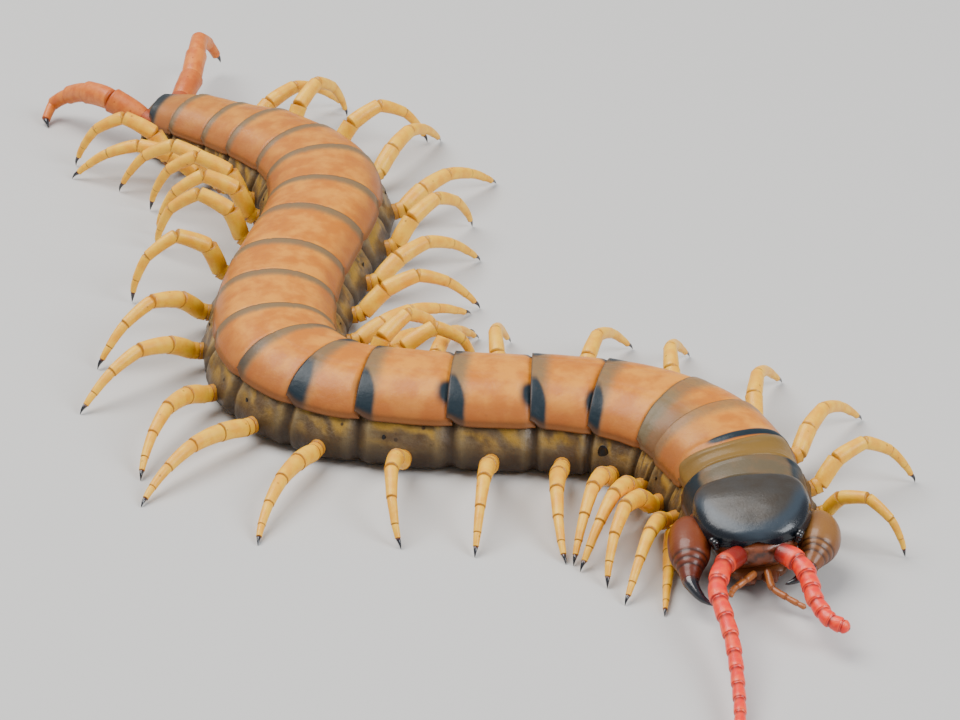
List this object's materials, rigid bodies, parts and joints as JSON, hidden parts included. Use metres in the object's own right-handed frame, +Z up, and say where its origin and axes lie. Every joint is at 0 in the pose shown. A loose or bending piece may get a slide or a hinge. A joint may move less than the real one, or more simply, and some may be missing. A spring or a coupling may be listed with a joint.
{
  "type": "mediterranean banded centipede, still life-size model",
  "caption": "Life-size still model of a banded centipede in a winding walking stance: flat head with curled fangs and feelers, banded back plates, jointed legs.",
  "frame": {"origin": "middle of the bounding box, on the floor that the claws stand on", "axes": "+Z up; +Y towards the tail end and along the longest extent; the head faces -Y"},
  "size_m": [0.087, 0.141, 0.0081],
  "materials": {
    "plates": "satin orange shell with dark blue-green bands",
    "head": "glossy grey-brown shell with a blue-black rim",
    "eye": "glossy black",
    "feeler": "satin coral red",
    "fang": "glossy red-brown with black tips",
    "palp": "satin orange-brown",
    "leg": "satin amber yellow with brown joints and black claws",
    "last_leg": "satin salmon red"
  },
  "bodies": {
    "root": {"head": "head", "eyes_left": "eye", "eyes_right": "eye", "antenna_left": "feeler", "antenna_right": "feeler", "forcipule_left": "fang", "forcipule_right": "fang", "palp_left": "palp", "palp_right": "palp", "trunk_1": "plates", "trunk_2": "plates", "trunk_3": "plates", "trunk_4": "plates", "trunk_5": "plates", "trunk_6": "plates", "trunk_7": "plates", "leg_left_01": "leg", "leg_left_02": "leg", "leg_left_03": "leg", "leg_left_04": "leg", "leg_left_05": "leg", "leg_left_06": "leg", "leg_left_07": "leg", "leg_left_08": "leg", "leg_left_09": "leg", "leg_left_10": "leg", "leg_left_11": "leg", "leg_left_12": "leg", "leg_left_13": "leg", "leg_left_14": "leg", "leg_left_15": "leg", "leg_left_16": "leg", "leg_left_17": "leg", "leg_left_18": "leg", "leg_left_19": "leg", "leg_left_20": "leg", "leg_left_21": "last_leg", "leg_right_01": "leg", "leg_right_02": "leg", "leg_right_03": "leg", "leg_right_04": "leg", "leg_right_05": "leg", "leg_right_06": "leg", "leg_right_07": "leg", "leg_right_08": "leg", "leg_right_09": "leg", "leg_right_10": "leg", "leg_right_11": "leg", "leg_right_12": "leg", "leg_right_13": "leg", "leg_right_14": "leg", "leg_right_15": "leg", "leg_right_16": "leg", "leg_right_17": "leg", "leg_right_18": "leg", "leg_right_19": "leg", "leg_right_20": "leg", "leg_right_21": "last_leg"}
  },
  "joints": []
}
